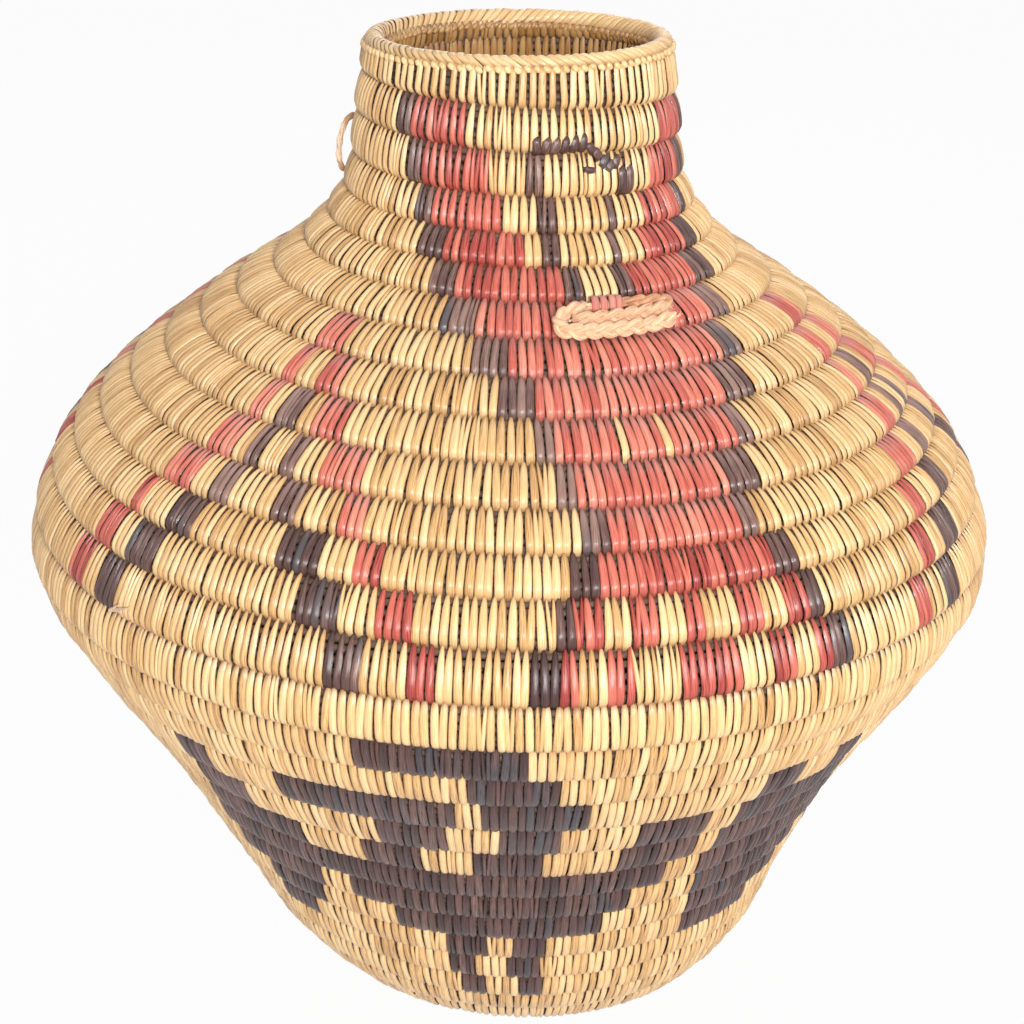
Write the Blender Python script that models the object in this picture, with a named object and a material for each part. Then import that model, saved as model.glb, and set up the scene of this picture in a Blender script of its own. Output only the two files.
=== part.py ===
# Coiled olla basket: one coil wound from the middle of the base up to the mouth,
# one object for each turn, with a braided rim and two braided carrying loops.
import math

import bmesh
import bpy
from mathutils import Matrix, Vector

MM = 0.001

# Wall
WALL = 8.6 * MM  # thickness at the fullest part of a turn
CREASE = 4.0 * MM  # thickness where two turns meet
CLEARANCE = 0.3 * MM  # between pieces that touch
SEGMENTS = 28  # steps of one turn
FULL_HIGH = 0.2  # where a turn is full, above its middle, in turns
FULL_LOW = 0.26  # where a turn is fullest, below its middle, in turns
HIGH_SHARE = 0.88  # fullness of the upper half against the lower half

# Middle of the wall, from the mouth over neck, shoulder and belly to the edge of the base
PROFILE_TURNS = (1, 2, 4, 6, 9, 12, 14, 16, 18, 21, 25, 28, 30)  # counted from the mouth
PROFILE_RADII = (
    42.9 * MM, 44.9 * MM, 48.2 * MM, 60.5 * MM, 92.7 * MM, 124.5 * MM, 140.1 * MM,
    148.6 * MM, 138.6 * MM, 115.2 * MM, 93.0 * MM, 77.6 * MM, 61.0 * MM,
)
PROFILE_HEIGHTS = (
    301.0 * MM, 289.4 * MM, 265.4 * MM, 247.8 * MM, 225.1 * MM, 199.6 * MM, 181.0 * MM,
    155.2 * MM, 132.5 * MM, 95.0 * MM, 51.5 * MM, 20.8 * MM, 4.7 * MM,
)
WALL_TURNS = 30
BASE_TURNS = 4
BASE_STEP = 10.6 * MM  # from turn to turn on the flat base
FULL_WALL_HEIGHT = 104.0 * MM  # above this the wall stands true
BASE_LEAN = 8.2 * MM  # how far the base sits to one side

# Rim
RIM_ABOVE = 8.8 * MM  # its ridge above the middle of the first turn
RIM_SPLINT = 1.3 * MM  # thickness of the braided binding
RIM_DEPTH = 4.8 * MM  # how far it hangs down both faces
TAIL_START = 67.5  # degrees round from the front, where the coil's end shows
TAIL_EDGE = 0.8 * MM  # rounding of the tail's lower edge

# Braided strap of the two loops
STRAP_WIDTH = 5.0 * MM
STRAP_THICKNESS = 2.0 * MM
STRAP_NECK = 2.6 * MM  # its diameter where it is drawn together
LOOP_STEP = 2.2 * MM  # between the sections of a loop
LOOP_SIDES = 8

# Front loop: a strap passed under four stitches and folded back at both sides
FRONT_TURN = 6.8
FRONT_ANGLE = 21.0  # degrees
FRONT_DROOP = 10.0  # degrees below level at rest
PIN_DEPTH = 0.9 * MM  # middle of the strap below the face of the wall
PIN_HALF = 5.4 * MM  # half the stretch under the stitches
PIN_EASE = 0.8 * MM  # how far inside its ends the strap starts to rise
PIN_BEND = 1.2 * MM  # how far past them it has left the channel
NECK_RUN = 1.5 * MM  # how far past them it stays drawn together
NECK_EASE = 4.0 * MM  # how far it then takes to spread out
KEEPER_THICKNESS = 0.9 * MM
KEEPER_HALF = 4.6 * MM
KEEPER_SIDES = 8
GROOVE_SIDES = 12
GROOVE_SPARE = 4.0 * MM  # how far the channel runs on past the stitches
LEFT_REACH = 16.5 * MM  # from the middle to the left fold
RIGHT_REACH = 17.0 * MM  # from the middle to the right fold
OUTER_RUN = 10.8 * MM  # how far the outer run stands off
INNER_RUN = 8.0 * MM  # how far the run behind it stands off
NEAR_RUN = 4.4 * MM  # how far the run next to the wall stands off
RUN_SHIFT = 2.0 * MM  # how far the two runs lie above and below the loop's plane

# Side loop: a strap sewn in at its two ends, one above the other
SIDE_ANGLE = -103.0  # degrees
SIDE_TOP_TURN = 3.0
SIDE_LOW_TURN = 4.75
SIDE_STAND = 4.0 * MM  # how far it stands off the line between its ends
SIDE_RISE = 0.4 * MM  # middle of the strap's ends above the face of the wall

STRAW = (0.70, 0.50, 0.28, 1.0)
RIM_STRAW = (0.74, 0.53, 0.30, 1.0)
STITCH_RED = (0.55, 0.16, 0.12, 1.0)
STRAP_TAN = (0.76, 0.52, 0.32, 1.0)


def clear_scene():
    for obj in list(bpy.data.objects):
        bpy.data.objects.remove(obj, do_unlink=True)


def base_profile():
    """Points of the flat base, from its outer turn to the middle."""
    edge_turn, edge_radius = PROFILE_TURNS[-1], PROFILE_RADII[-1]
    last = edge_turn + int(edge_radius / BASE_STEP)
    return tuple(
        (turn, edge_radius - BASE_STEP * (turn - edge_turn), WALL / 2)
        for turn in range(edge_turn + 1, last + 1)
    )


PROFILE = tuple(zip(PROFILE_TURNS, PROFILE_RADII, PROFILE_HEIGHTS)) + base_profile()
RIM_HEIGHT = PROFILE_HEIGHTS[0] + RIM_ABOVE


def profile_slopes():
    """Change of radius and height for each turn at every profile point."""
    steps = []
    for (turn, radius, height), (turn2, radius2, height2) in zip(PROFILE, PROFILE[1:]):
        width = turn2 - turn
        steps.append((width, (radius2 - radius) / width, (height2 - height) / width))
    slopes = [steps[0][1:]]
    for (width, radial, rise), (width2, radial2, rise2) in zip(steps, steps[1:]):
        both = width + width2
        slopes.append(((radial * width2 + radial2 * width) / both, (rise * width2 + rise2 * width) / both))
    slopes.append(steps[-1][1:])
    return slopes


SLOPES = profile_slopes()


def profile_point(turn):
    """Radius and height of the middle of the wall."""
    first_turn, radius, height = PROFILE[0]
    if turn <= first_turn:
        radial, rise = SLOPES[0]
        return radius + radial * (turn - first_turn), height + rise * (turn - first_turn)
    index = 0
    while index < len(PROFILE) - 2 and turn > PROFILE[index + 1][0]:
        index += 1
    start, end = PROFILE[index], PROFILE[index + 1]
    width = end[0] - start[0]
    t = (turn - start[0]) / width
    if t > 1:
        radial, rise = SLOPES[-1]
        return end[1] + radial * (turn - end[0]), end[2] + rise * (turn - end[0])
    ease_start = (1 + 2 * t) * (1 - t) ** 2
    ease_end = t * t * (3 - 2 * t)
    pull_start = t * (1 - t) ** 2 * width
    pull_end = t * t * (t - 1) * width
    return tuple(
        ease_start * start[axis + 1]
        + ease_end * end[axis + 1]
        + pull_start * SLOPES[index][axis]
        + pull_end * SLOPES[index + 1][axis]
        for axis in (0, 1)
    )


def profile_direction(turn):
    """Change of radius and height at a turn."""
    step = 0.01
    radius, height = profile_point(turn - step)
    radius2, height2 = profile_point(turn + step)
    return (radius2 - radius) / (2 * step), (height2 - height) / (2 * step)


def moved_along(turn, distance):
    """The turn that lies a distance further down the wall."""
    radial, rise = profile_direction(turn)
    return turn + distance / math.hypot(radial, rise)


def turn_at(height):
    """The turn whose middle lies at a height of the neck."""
    low, high = 0.0, 2.0
    for _ in range(40):
        middle = (low + high) / 2
        if profile_point(middle)[1] > height:
            low = middle
        else:
            high = middle
    return middle


def lean(height):
    below = max(0.0, (FULL_WALL_HEIGHT - height) / FULL_WALL_HEIGHT)
    return BASE_LEAN * below ** 2


def wall_point(turn, angle, offset):
    """A point of the wall: offset is outwards from its middle, angle is 0 at the front."""
    radius, height = profile_point(turn)
    radial, rise = profile_direction(turn)
    length = math.hypot(radial, rise)
    radius += -rise / length * offset
    height = max(0.0, height + radial / length * offset)
    turned = math.radians(angle)
    return Vector((radius * math.sin(turned) + lean(height), -radius * math.cos(turned), height))


def make_object(name, mesh_data, material):
    mesh = bpy.data.meshes.new(name)
    mesh_data.to_mesh(mesh)
    mesh_data.free()
    for polygon in mesh.polygons:
        polygon.use_smooth = True
    mesh.materials.append(material)
    obj = bpy.data.objects.new(name, mesh)
    bpy.context.scene.collection.objects.link(obj)
    return obj


def make_material(name, colour, roughness):
    material = bpy.data.materials.new(name)
    material.use_nodes = True
    shader = material.node_tree.nodes["Principled BSDF"]
    shader.inputs["Base Color"].default_value = colour
    shader.inputs["Roughness"].default_value = roughness
    shader.inputs["Metallic"].default_value = 0.0
    material.diffuse_color = colour
    return material


def loft(sections, closed=False):
    """A solid skin through sections that each have the same number of points."""
    mesh = bmesh.new()
    rings = [[mesh.verts.new(point) for point in section] for section in sections]
    pairs = list(zip(rings, rings[1:]))
    if closed:
        pairs.append((rings[-1], rings[0]))
    for ring, following in pairs:
        for index in range(len(ring)):
            after = (index + 1) % len(ring)
            mesh.faces.new((ring[index], ring[after], following[after], following[index]))
    if not closed:
        mesh.faces.new(rings[0])
        mesh.faces.new(rings[-1])
    bmesh.ops.recalc_face_normals(mesh, faces=mesh.faces)
    return mesh


def turn_angles(seam_turn):
    """Angles of one turn, open at the back by half the clearance on each side."""
    half_gap = math.degrees(CLEARANCE / 2 / profile_point(seam_turn)[0])
    step = 360.0 / SEGMENTS
    angles = [-180.0 + step * index for index in range(SEGMENTS + 1)]
    angles[0] += half_gap
    angles[-1] -= half_gap
    return angles


def coil_section(number, angle):
    """Turn and offset of the seven corners of one turn of the coil."""
    middle = number + angle / 360.0
    top = moved_along(middle - 0.5, CLEARANCE / 2)
    low = moved_along(middle + 0.5, -CLEARANCE / 2)
    full = WALL / 2
    crease = CREASE / 2
    return (
        (top, crease),
        (middle - FULL_HIGH, full * HIGH_SHARE),
        (middle + FULL_LOW, full),
        (low, crease),
        (low, -crease),
        (middle, -full),
        (top, -crease),
    )


def rim_seat():
    return turn_at(RIM_HEIGHT - RIM_SPLINT - CLEARANCE)


def rim_foot():
    return turn_at(RIM_HEIGHT - RIM_DEPTH - CLEARANCE)


def tongue():
    """Half the thickness of the coil under the braided binding."""
    return WALL / 2 - RIM_SPLINT - CLEARANCE


def first_section(angle):
    """Corners of the top turn, which is drawn in under the binding."""
    middle = 1 + angle / 360.0
    low = moved_along(middle + 0.5, -CLEARANCE / 2)
    top = rim_seat()
    if angle >= TAIL_START:
        top = moved_along(middle - 0.5, CLEARANCE / 2)
    foot = max(rim_foot(), top + 0.08)
    shoulder = foot + 0.05
    fullest = low - 0.35 * (low - shoulder)
    full = WALL / 2
    crease = CREASE / 2
    return (
        (top, tongue()),
        (foot, tongue()),
        (shoulder, full * HIGH_SHARE),
        (fullest, full),
        (low, crease),
        (low, -crease),
        (fullest, -full),
        (shoulder, -full * HIGH_SHARE),
        (foot, -tongue()),
        (top, -tongue()),
    )


def tail_section(angle):
    """Corners of the coil's tapered end, between the binding and the top turn."""
    top = rim_seat()
    low = moved_along(0.5 + angle / 360.0, -CLEARANCE / 2)
    edge = moved_along(low, -min(TAIL_EDGE, CLEARANCE + 0.3 * MM))
    crease = CREASE / 2
    return (
        (top, tongue()),
        (edge, tongue()),
        (low, crease),
        (low, -crease),
        (edge, -tongue()),
        (top, -tongue()),
    )


def rim_section():
    """Corners of the braided binding, an arch over the top of the coil."""
    ridge = turn_at(RIM_HEIGHT)
    brow = turn_at(RIM_HEIGHT - 0.25 * RIM_SPLINT)
    cheek = turn_at(RIM_HEIGHT - RIM_SPLINT)
    foot = turn_at(RIM_HEIGHT - RIM_DEPTH)
    full = WALL / 2
    inner = tongue() + CLEARANCE
    return (
        (foot, full),
        (cheek, full),
        (brow, 0.75 * full),
        (ridge, 0.3 * full),
        (ridge, -0.3 * full),
        (brow, -0.75 * full),
        (cheek, -full),
        (foot, -full),
        (foot, -inner),
        (cheek, -inner),
        (cheek, inner),
        (foot, inner),
    )


def section_points(section, angle):
    return [wall_point(turn, angle, offset) for turn, offset in section]


def make_coil_turn(number):
    name = f"coil_{number:02d}"
    sections = [
        section_points(coil_section(number, angle), angle) for angle in turn_angles(number + 0.5)
    ]
    return make_object(name, loft(sections), make_material(name, STRAW, 0.5))


def make_top_turn():
    sections = [section_points(first_section(angle), angle) for angle in turn_angles(1.5)]
    return make_object("coil_01", loft(sections), make_material("coil_01", STRAW, 0.5))


def make_tail():
    angles = [angle for angle in turn_angles(0.5) if angle >= TAIL_START]
    sections = [section_points(tail_section(angle), angle) for angle in angles]
    return make_object("coil_tail", loft(sections), make_material("coil_tail", STRAW, 0.5))


def make_rim():
    step = 360.0 / SEGMENTS
    sections = [
        section_points(rim_section(), -180.0 + step * index) for index in range(SEGMENTS)
    ]
    mesh = loft(sections, closed=True)
    return make_object("rim_braid", mesh, make_material("rim_braid", RIM_STRAW, 0.45))


def make_coil_start():
    """The middle of the base, where the coil begins, shaped like a snail."""
    number = WALL_TURNS + BASE_TURNS
    angles = turn_angles(number + 1)
    outline = [(moved_along(number + 0.5 + angle / 360.0, CLEARANCE / 2), angle) for angle in angles]
    outline.append((outline[-1][0], angles[0]))
    inset = 0.25
    levels = ((inset, WALL / 2), (0.0, CREASE / 2), (0.0, -CREASE / 2), (inset, -WALL / 2))
    rings = [
        [wall_point(turn + shift, angle, offset) for turn, angle in outline]
        for shift, offset in levels
    ]
    return make_object("coil_start", loft(rings), make_material("coil_start", STRAW, 0.5))


class Seat:
    """A place on the wall with its directions: along the turn, outwards and down the wall."""

    def __init__(self, turn, angle, depth):
        self.middle = wall_point(turn, angle, WALL / 2 - depth)
        turned = math.radians(angle)
        self.along = Vector((math.cos(turned), math.sin(turned), 0.0))
        self.level = Vector((math.sin(turned), -math.cos(turned), 0.0))
        self.out = (wall_point(turn, angle, WALL / 2) - wall_point(turn, angle, 0.0)).normalized()
        self.down = self.out.cross(self.along).normalized()
        if self.down.z > 0:
            self.down.negate()


def smooth_route(points, step):
    """Evenly spaced points on a smooth curve through chosen points, with their shares of the way."""
    fine = []
    ends = [points[0] * 2 - points[1]] + list(points) + [points[-1] * 2 - points[-2]]
    for before, start, end, after in zip(ends, ends[1:], ends[2:], ends[3:]):
        for index in range(12):
            t = index / 12
            fine.append(
                (start * 2 + (end - before) * t
                 + (before * 2 - start * 5 + end * 4 - after) * t ** 2
                 + (start * 3 - before - end * 3 + after) * t ** 3) / 2
            )
    fine.append(points[-1].copy())
    lengths = [0.0]
    for start, end in zip(fine, fine[1:]):
        lengths.append(lengths[-1] + (end - start).length)
    count = max(8, round(lengths[-1] / step))
    route = []
    index = 0
    for number in range(count + 1):
        wanted = lengths[-1] * number / count
        while index < len(lengths) - 2 and lengths[index + 1] < wanted:
            index += 1
        share = (wanted - lengths[index]) / (lengths[index + 1] - lengths[index])
        route.append(fine[index].lerp(fine[index + 1], share))
    return route, lengths[-1]


def strap_sections(route, width_way, sizes):
    """Oval sections of a flat strap; sizes gives width and thickness at each point."""
    sections = []
    for index, point in enumerate(route):
        ahead = route[min(index + 1, len(route) - 1)]
        behind = route[max(index - 1, 0)]
        forward = (ahead - behind).normalized()
        across = (width_way - forward * width_way.dot(forward)).normalized()
        through = forward.cross(across)
        width, thickness = sizes[index]
        corners = [
            (math.cos(math.tau * side / LOOP_SIDES), math.sin(math.tau * side / LOOP_SIDES))
            for side in range(LOOP_SIDES)
        ]
        sections.append(
            [point + across * (width / 2 * a) + through * (thickness / 2 * b) for a, b in corners]
        )
    return sections


def front_frame():
    seat = Seat(FRONT_TURN, FRONT_ANGLE, PIN_DEPTH)
    droop = math.radians(FRONT_DROOP)
    out = (seat.level * math.cos(droop) - Vector((0, 0, math.sin(droop)))).normalized()
    up = seat.along.cross(out).normalized()
    if up.z < 0:
        up.negate()
    return seat, out, up


def front_points():
    """The strap's way: tucked end, inner run, right fold, under the stitches, left fold, outer run."""
    left, right, shift, near = LEFT_REACH, RIGHT_REACH, RUN_SHIFT, NEAR_RUN
    inner, outer = INNER_RUN, OUTER_RUN
    return (
        (-0.72 * left, 0.86 * inner, -0.1 * shift),
        (-0.40 * left, 0.96 * inner, 0.0),
        (0.0, inner, 0.1 * shift),
        (0.45 * right, 0.98 * inner, 0.25 * shift),
        (0.80 * right, 0.92 * inner, 0.4 * shift),
        (right, 0.78 * inner, 0.6 * shift),
        (0.98 * right, near, 0.9 * shift),
        (0.76 * right, 0.92 * near, 0.8 * shift),
        (0.55 * right, 0.70 * near, 0.7 * shift),
        (PIN_HALF + PIN_BEND, 0.18 * near, 0.4 * shift),
        (PIN_HALF - PIN_EASE, 0.0, 0.0),
        (0.0, 0.0, 0.0),
        (-PIN_HALF + PIN_EASE, 0.0, 0.0),
        (-PIN_HALF - PIN_BEND, 0.18 * near, 0.4 * shift),
        (-0.52 * left, 0.72 * near, 0.7 * shift),
        (-0.78 * left, near, 0.5 * shift),
        (-left, 0.60 * outer, -0.1 * shift),
        (-0.97 * left, 0.84 * outer, -0.6 * shift),
        (-0.72 * left, 0.97 * outer, -0.9 * shift),
        (-0.30 * left, outer, -shift),
        (0.22 * right, outer, -shift),
        (0.70 * right, 0.97 * outer, -0.8 * shift),
        (1.06 * right, 0.90 * outer, -0.3 * shift),
    )


def make_front_loop():
    seat, out, up = front_frame()
    points = [seat.along * a + out * b + up * c for a, b, c in front_points()]
    route, length = smooth_route(points, LOOP_STEP)
    sizes = []
    for index, point in enumerate(route):
        off = point.length
        spread = min(1.0, max(0.0, (off - PIN_HALF - NECK_RUN) / NECK_EASE))
        if point.dot(out) > NEAR_RUN:
            spread = 1.0
        tip = min(1.0, 0.55 + 0.45 * min(index, len(route) - 1 - index) / 2)
        width = STRAP_NECK + (STRAP_WIDTH - STRAP_NECK) * spread
        thickness = STRAP_NECK + (STRAP_THICKNESS - STRAP_NECK) * spread
        sizes.append((width * tip, thickness * tip))
    obj = make_object(
        "front_loop", loft(strap_sections(route, up, sizes)), make_material("front_loop", STRAP_TAN, 0.6)
    )
    obj.location = seat.middle
    print(f"front loop: strap {length * 1000:.0f} mm, pivot {tuple(round(v, 5) for v in seat.middle)}, "
          f"axis {tuple(round(-v, 5) for v in seat.along)}")
    return obj


def groove_radius():
    """Room for the strap's round stretch to turn in, inside a channel of flat sides."""
    return (STRAP_NECK / 2 + CLEARANCE) / math.cos(math.pi / GROOVE_SIDES)


def make_keeper():
    """The stitches over the front loop's strap, as one arch."""
    seat, _, _ = front_frame()
    inner = groove_radius()
    outer = inner + KEEPER_THICKNESS
    lowest = PIN_DEPTH + CLEARANCE
    inner_end = math.acos(lowest / inner)
    outer_end = math.acos(lowest / outer)
    section = []
    for radius, end in ((outer, outer_end), (inner, -inner_end)):
        for index in range(KEEPER_SIDES + 1):
            turned = end * (2 * index / KEEPER_SIDES - 1)
            section.append(seat.out * (radius * math.cos(turned)) + seat.down * (radius * math.sin(turned)))
    sections = [[point + seat.along * side for point in section] for side in (-KEEPER_HALF, KEEPER_HALF)]
    obj = make_object("loop_keeper", loft(sections), make_material("loop_keeper", STITCH_RED, 0.5))
    obj.location = seat.middle
    return obj


def side_ends():
    ends = []
    for turn in (SIDE_TOP_TURN, SIDE_LOW_TURN):
        seat = Seat(turn + SIDE_ANGLE / 360.0, SIDE_ANGLE, -SIDE_RISE)
        ends.append(seat.middle)
    return ends


def make_side_loop():
    top, low = side_ends()
    seat = Seat(SIDE_TOP_TURN, SIDE_ANGLE, 0.0)
    axis = (low - top).normalized()
    away = (seat.level - axis * seat.level.dot(axis)).normalized()
    span = (low - top).length
    shares = ((0.0, 0.0), (0.04, 0.4), (0.16, 0.8), (0.45, 1.0), (0.78, 0.82), (0.95, 0.4), (1.0, 0.0))
    points = [axis * (span * along) + away * (SIDE_STAND * off) for along, off in shares]
    route, length = smooth_route(points, LOOP_STEP)
    sizes = []
    for point in route:
        spread = min(1.0, max(0.0, (point.dot(away) - 0.35 * SIDE_STAND) / (0.4 * SIDE_STAND)))
        sizes.append((
            STRAP_NECK + (STRAP_WIDTH - STRAP_NECK) * spread,
            STRAP_NECK + (STRAP_THICKNESS - STRAP_NECK) * spread,
        ))
    mesh = loft(strap_sections(route, seat.along, sizes))
    obj = make_object("side_loop", mesh, make_material("side_loop", STRAP_TAN, 0.6))
    obj.location = top
    print(f"side loop: strap {length * 1000:.0f} mm, pivot {tuple(round(v, 5) for v in top)}, "
          f"axis {tuple(round(v, 5) for v in axis)}")
    return obj


def add_cut(target, mesh, name, matrix):
    cutter = make_object(name, mesh, target.data.materials[0])
    cutter.matrix_world = matrix
    cutter.hide_render = True
    cutter.display_type = "WIRE"
    cut = target.modifiers.new(name, "BOOLEAN")
    cut.operation = "DIFFERENCE"
    cut.solver = "EXACT"
    cut.object = cutter


def cut_groove(coil):
    """The channel that the front loop's strap lies in."""
    seat, _, _ = front_frame()
    mesh = bmesh.new()
    bmesh.ops.create_cone(
        mesh, cap_ends=True, segments=GROOVE_SIDES, radius1=groove_radius(),
        radius2=groove_radius(), depth=2 * (PIN_HALF + GROOVE_SPARE),
    )
    turn = Matrix((seat.down, seat.out, seat.along)).transposed().to_4x4()
    add_cut(coil, mesh, "groove_cutter", Matrix.Translation(seat.middle) @ turn)


def cut_socket(coil, place, name):
    """The hollow between two stitches that an end of the side loop sits in."""
    mesh = bmesh.new()
    bmesh.ops.create_uvsphere(mesh, u_segments=12, v_segments=8, radius=(STRAP_NECK / 2 + CLEARANCE) * 1.06)
    add_cut(coil, mesh, name, Matrix.Translation(place))


def main():
    clear_scene()
    coils = {1: make_top_turn()}
    for number in range(2, WALL_TURNS + BASE_TURNS + 1):
        coils[number] = make_coil_turn(number)
    make_tail()
    make_rim()
    make_coil_start()
    make_front_loop()
    make_keeper()
    make_side_loop()
    cut_groove(coils[round(FRONT_TURN)])
    top, low = side_ends()
    cut_socket(coils[round(SIDE_TOP_TURN)], top, "top_socket_cutter")
    cut_socket(coils[round(SIDE_LOW_TURN)], low, "low_socket_cutter")


main()
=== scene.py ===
# Dresses the coiled olla basket: sewn coils, bound rim and braided loops.
import math
import random

import bmesh
import bpy
import numpy as np
from mathutils import Euler, Matrix, Vector


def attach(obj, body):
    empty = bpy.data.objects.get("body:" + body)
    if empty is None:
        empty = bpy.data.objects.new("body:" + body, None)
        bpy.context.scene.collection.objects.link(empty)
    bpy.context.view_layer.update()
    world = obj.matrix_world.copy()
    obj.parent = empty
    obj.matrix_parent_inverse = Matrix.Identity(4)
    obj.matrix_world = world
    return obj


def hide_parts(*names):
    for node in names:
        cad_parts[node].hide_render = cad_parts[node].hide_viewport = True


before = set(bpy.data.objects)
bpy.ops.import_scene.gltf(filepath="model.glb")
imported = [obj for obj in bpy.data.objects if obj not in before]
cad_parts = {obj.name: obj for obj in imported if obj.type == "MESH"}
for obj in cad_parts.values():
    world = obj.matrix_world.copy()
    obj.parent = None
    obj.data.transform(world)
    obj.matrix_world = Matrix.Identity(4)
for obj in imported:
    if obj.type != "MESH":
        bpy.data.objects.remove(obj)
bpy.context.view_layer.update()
mm = 0.001


# Nodes, for materials and for geometry trees

def colour(red, green, blue):
    # a colour as it is read off a screen, 0 to 255
    def straight(value):
        value /= 255
        return value / 12.92 if value <= 0.04045 else ((value + 0.055) / 1.055) ** 2.4
    return (straight(red), straight(green), straight(blue), 1.0)


class Wires:
    # adds nodes to one tree and joins them up

    def __init__(self, tree):
        self.tree = tree

    def join(self, value, target):
        # a socket is linked, anything else is typed in
        if isinstance(value, bpy.types.NodeSocket):
            self.tree.links.new(value, target)
        else:
            target.default_value = value

    def node(self, kind, inputs=(), **settings):
        node = self.tree.nodes.new(kind)
        for name, value in settings.items():
            setattr(node, name, value)
        for key, value in dict(inputs).items():
            self.join(value, node.inputs[key])
        return node

    def made(self, kind, inputs=(), **settings):
        return self.node(kind, inputs, **settings).outputs[0]

    def maths(self, operation, *values, **settings):
        return self.made("ShaderNodeMath", enumerate(values), operation=operation, **settings)

    def add(self, first, last):
        return self.maths("ADD", first, last)

    def less(self, first, last):
        return self.maths("SUBTRACT", first, last)

    def times(self, first, last):
        return self.maths("MULTIPLY", first, last)

    def share(self, first, last):
        return self.maths("DIVIDE", first, last)

    def bowed(self, value, power):
        # 0 in the middle of a strip, 1 at its edges
        return self.maths("POWER", self.maths("ABSOLUTE", self.times(value, 2.0)), power)

    def xyz(self, *values):
        return self.made("ShaderNodeCombineXYZ", enumerate(values))

    def parts(self, vector):
        return self.node("ShaderNodeSeparateXYZ", {0: vector}).outputs

    def scaled(self, vector, amount):
        return self.made("ShaderNodeVectorMath", {0: vector, "Scale": amount}, operation="SCALE")

    def summed(self, first, last):
        return self.made("ShaderNodeVectorMath", {0: first, 1: last}, operation="ADD")

    # for materials

    def field(self, name, output="Fac"):
        return self.node("ShaderNodeAttribute", attribute_name=name).outputs[output]

    def noise(self, vector, scale, detail, roughness=0.5):
        return self.node("ShaderNodeTexNoise", {
            "Vector": vector, "Scale": scale, "Detail": detail, "Roughness": roughness,
        }).outputs["Fac"]

    def ranged(self, value, low, high, toLow=0.0, toHigh=1.0):
        return self.made("ShaderNodeMapRange", {
            "Value": value, "From Min": low, "From Max": high, "To Min": toLow, "To Max": toHigh,
        })

    def ramp(self, factor, stops):
        node = self.node("ShaderNodeValToRGB", {0: factor})
        band = node.color_ramp
        while len(band.elements) < len(stops):
            band.elements.new(0.5)
        for element, (place, tint) in zip(band.elements, stops):
            element.position = place
            element.color = colour(*tint)
        return node.outputs[0]

    def mix(self, factor, first, last, blend="MIX"):
        inputs = {0: factor, 6: first, 7: last}
        return self.node("ShaderNodeMix", inputs, data_type="RGBA", blend_type=blend).outputs[2]

    def bumped(self, shader, height, depth):
        bump = self.made("ShaderNodeBump", {"Height": height, "Distance": depth})
        self.join(bump, shader.inputs["Normal"])

    # for geometry

    def read(self, name, kind="FLOAT"):
        node = self.node("GeometryNodeInputNamedAttribute", {"Name": name}, data_type=kind)
        return node.outputs["Attribute"]

    def store(self, geometry, name, value, kind="FLOAT", domain="POINT"):
        inputs = {"Geometry": geometry, "Name": name, "Value": value}
        return self.made("GeometryNodeStoreNamedAttribute", inputs, data_type=kind, domain=domain)

    def curved(self, factor, points):
        node = self.node("ShaderNodeFloatCurve", {"Value": factor})
        curve = node.mapping.curves[0]
        curve.points[0].location = points[0]
        curve.points[1].location = points[-1]
        for place in points[1:-1]:
            curve.points.new(*place)
        node.mapping.update()
        return node.outputs[0]

    def chance(self, low, high, seed, extra, kind="FLOAT"):
        first = 0 if kind == "FLOAT_VECTOR" else 2
        inputs = {first: low, first + 1: high, "Seed": self.add(seed, float(extra))}
        return self.node("FunctionNodeRandomValue", inputs, data_type=kind).outputs[first // 2]

    def grid(self, size, face):
        # a flat grid that keeps its own places as "strip", with the side that it is for
        columns, rows = size
        mesh = self.made("GeometryNodeMeshGrid", {
            "Size X": 1.0, "Size Y": 1.0, "Vertices X": columns, "Vertices Y": rows,
        })
        across, along, _ = self.parts(self.made("GeometryNodeInputPosition"))
        mesh = self.store(mesh, "strip", self.xyz(across, along, float(face)), "FLOAT_VECTOR")
        return mesh, self.parts(self.read("strip", "FLOAT_VECTOR"))

    def placed(self, geometry, place, label="Position"):
        return self.made("GeometryNodeSetPosition", {"Geometry": geometry, label: place})

    def together(self, *pieces):
        node = self.node("GeometryNodeJoinGeometry")
        for piece in pieces:
            self.join(piece, node.inputs[0])
        return node.outputs[0]

    def scattered(self, points, unit, turned, size, tone, material):
        copies = self.made("GeometryNodeInstanceOnPoints", {
            "Points": points, "Instance": unit, "Rotation": turned, "Scale": size,
        })
        copies = self.store(copies, "tone", tone, domain="INSTANCE")
        return self.dressed(self.made("GeometryNodeRealizeInstances", {"Geometry": copies}), material)

    def dressed(self, geometry, material):
        geometry = self.made("GeometryNodeSetShadeSmooth", {"Geometry": geometry, "Shade Smooth": True})
        return self.made("GeometryNodeSetMaterial", {"Geometry": geometry, "Material": material})


# Camera, floor and lamps

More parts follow.
